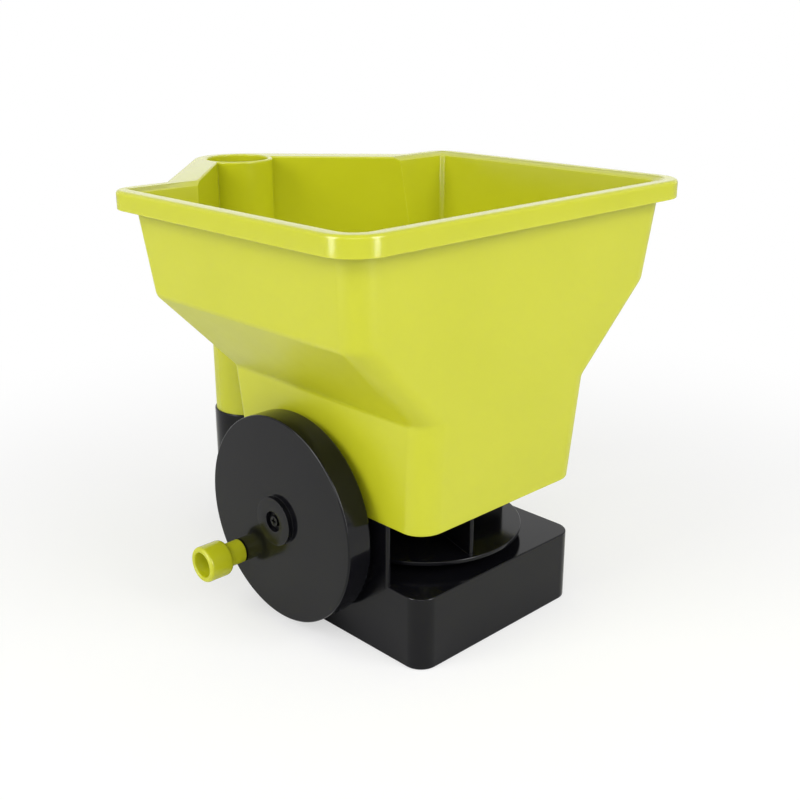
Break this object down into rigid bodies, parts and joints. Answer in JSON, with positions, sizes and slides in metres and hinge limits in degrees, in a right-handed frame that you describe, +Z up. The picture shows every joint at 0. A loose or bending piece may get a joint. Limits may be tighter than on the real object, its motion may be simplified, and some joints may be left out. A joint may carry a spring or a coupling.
{
  "type": "hand spreader",
  "caption": "Hand-held broadcast spreader: open hopper with a hollow rear grip tube on a low base, a side crank drum geared to a vaned spinner disc, and a sliding flow gate.",
  "frame": {"origin": "on the floor, under the spinner's axis", "axes": "+Z up along the spinner's axis, +Y back towards the grip tube, the crank on the -X side"},
  "size_m": [0.208, 0.2285, 0.2],
  "materials": {
    "lime_plastic": "moulded, semi-gloss",
    "black_plastic": "moulded, glossy",
    "nylon": "moulded, matt",
    "steel": "plain"
  },
  "bodies": {
    "base": {"base_housing": "black_plastic", "bottom_cover": "black_plastic", "cover_screws": "steel", "hopper": "lime_plastic", "hopper_screws": "steel", "grip_screw": "steel", "gate_guide": "black_plastic", "guide_screws": "steel", "floor_bush": "nylon", "upper_bush": "nylon", "lower_bush": "nylon", "layshaft_bushes": "nylon", "wheel_axle": "steel", "axle_washer": "steel", "axle_screw": "steel"},
    "crank": {"crank_wheel": "black_plastic", "knob_screw": "steel", "knob_nut": "steel"},
    "knob": {"crank_knob": "lime_plastic"},
    "layshaft": {"layshaft": "steel", "pinion": "nylon", "drive_bevel": "nylon"},
    "spinner": {"spinner_shaft": "steel", "spinner_disc": "black_plastic", "disc_pin": "steel", "driven_bevel": "nylon", "agitator": "lime_plastic", "agitator_pin": "steel"},
    "gate": {"flow_gate": "lime_plastic"}
  },
  "joints": [
    {"name": "crank_turn", "type": "hinge", "parent": "base", "child": "crank", "pos_m": [-0.0626, 0.024, 0.05492], "axis": [1, 0, 0], "continuous": true},
    {"name": "knob_spin", "type": "hinge", "parent": "crank", "child": "knob", "pos_m": [-0.082, 0.05404, 0.02881], "axis": [1, 0, 0], "continuous": true},
    {"name": "layshaft_turn", "type": "hinge", "parent": "base", "child": "layshaft", "pos_m": [-0.03, 0, 0.02428], "axis": [1, 0, 0], "continuous": true},
    {"name": "spinner_turn", "type": "hinge", "parent": "base", "child": "spinner", "pos_m": [0, 0, 0.04], "axis": [0, 0, 1], "continuous": true},
    {"name": "gate_slide", "type": "slide", "parent": "base", "child": "gate", "axis": [0, 1, 0], "range_m": [0, 0.018]}
  ],
  "couplings": [
    {"joint": "layshaft_turn", "follows": "crank_turn", "ratio": 7.2},
    {"joint": "spinner_turn", "follows": "crank_turn", "ratio": -7.2}
  ]
}
